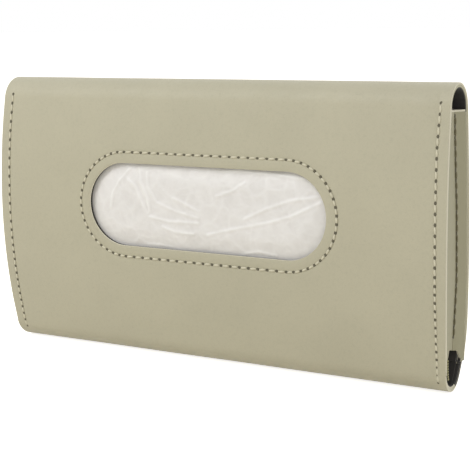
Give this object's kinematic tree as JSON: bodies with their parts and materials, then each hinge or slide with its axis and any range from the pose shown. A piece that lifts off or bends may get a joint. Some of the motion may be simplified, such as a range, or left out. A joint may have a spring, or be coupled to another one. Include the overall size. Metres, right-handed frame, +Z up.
{
  "type": "tissue holder",
  "caption": "Slim leather case for a pack of tissues with a round-ended front window, side gussets, a magnetic bottom flap and back straps for a car's sun visor.",
  "frame": {"origin": "the middle of the flat back face, which lies against the sun visor", "axes": "+X to the right as the window is faced, +Y out of the back towards the visor, +Z up towards the top fold"},
  "size_m": [0.23, 0.0434, 0.1296],
  "materials": {
    "leather": "matt fine grain, sage beige",
    "gusset_leather": "thin matt leather, olive beige",
    "lining": "black woven cloth",
    "board": "stiff fibre board",
    "thread": "waxed thread, leather coloured",
    "snap_metal": "satin nickel",
    "steel": "plain steel",
    "magnet": "nickel plated",
    "wrapper": "soft white wrinkled skin",
    "tissue": "white soft paper"
  },
  "bodies": {
    "back_panel": {"back_cover": "leather", "back_board": "board", "back_lining": "lining", "back_stitching": "thread", "closure_plates": "steel", "strap_tabs": "leather", "strap_tab_stitching": "thread", "snap_studs": "snap_metal"},
    "front_case": {"front_cover": "leather", "front_board": "board", "front_lining": "lining", "window_stitching": "thread", "right_edge_stitching": "thread", "left_edge_stitching": "thread", "right_gusset": "gusset_leather", "left_gusset": "gusset_leather", "right_gusset_stitching": "thread", "left_gusset_stitching": "thread", "tissue_wrapper": "wrapper", "tissue_stack": "tissue"},
    "bottom_flap": {"flap_cover": "leather", "flap_board": "board", "flap_lining": "lining", "flap_magnets": "magnet", "flap_stitching": "thread"},
    "right_visor_strap": {"right_strap": "leather", "right_snap_socket": "snap_metal", "right_snap_cap": "snap_metal"},
    "left_visor_strap": {"left_strap": "leather", "left_snap_socket": "snap_metal", "left_snap_cap": "snap_metal"}
  },
  "joints": [
    {"name": "front_opening", "type": "hinge", "parent": "back_panel", "child": "front_case", "pos_m": [0, 0, 0.05374], "axis": [-1, 0, 0], "range_deg": [0, 12], "deforming": ["right_gusset", "left_gusset", "right_gusset_stitching", "left_gusset_stitching"]},
    {"name": "flap_swing", "type": "hinge", "parent": "front_case", "child": "bottom_flap", "pos_m": [0, -0.02024, -0.0622], "axis": [-1, 0, 0], "range_deg": [0, 60]},
    {"name": "right_strap_swing", "type": "hinge", "parent": "back_panel", "child": "right_visor_strap", "pos_m": [0.065, 0.002, 0.03525], "axis": [1, 0, 0], "range_deg": [0, 100]},
    {"name": "left_strap_swing", "type": "hinge", "parent": "back_panel", "child": "left_visor_strap", "pos_m": [-0.065, 0.002, 0.03525], "axis": [1, 0, 0], "range_deg": [0, 100]}
  ],
  "couplings": [
    {"joint": "flap_swing", "follows": "front_opening", "ratio": 5}
  ]
}
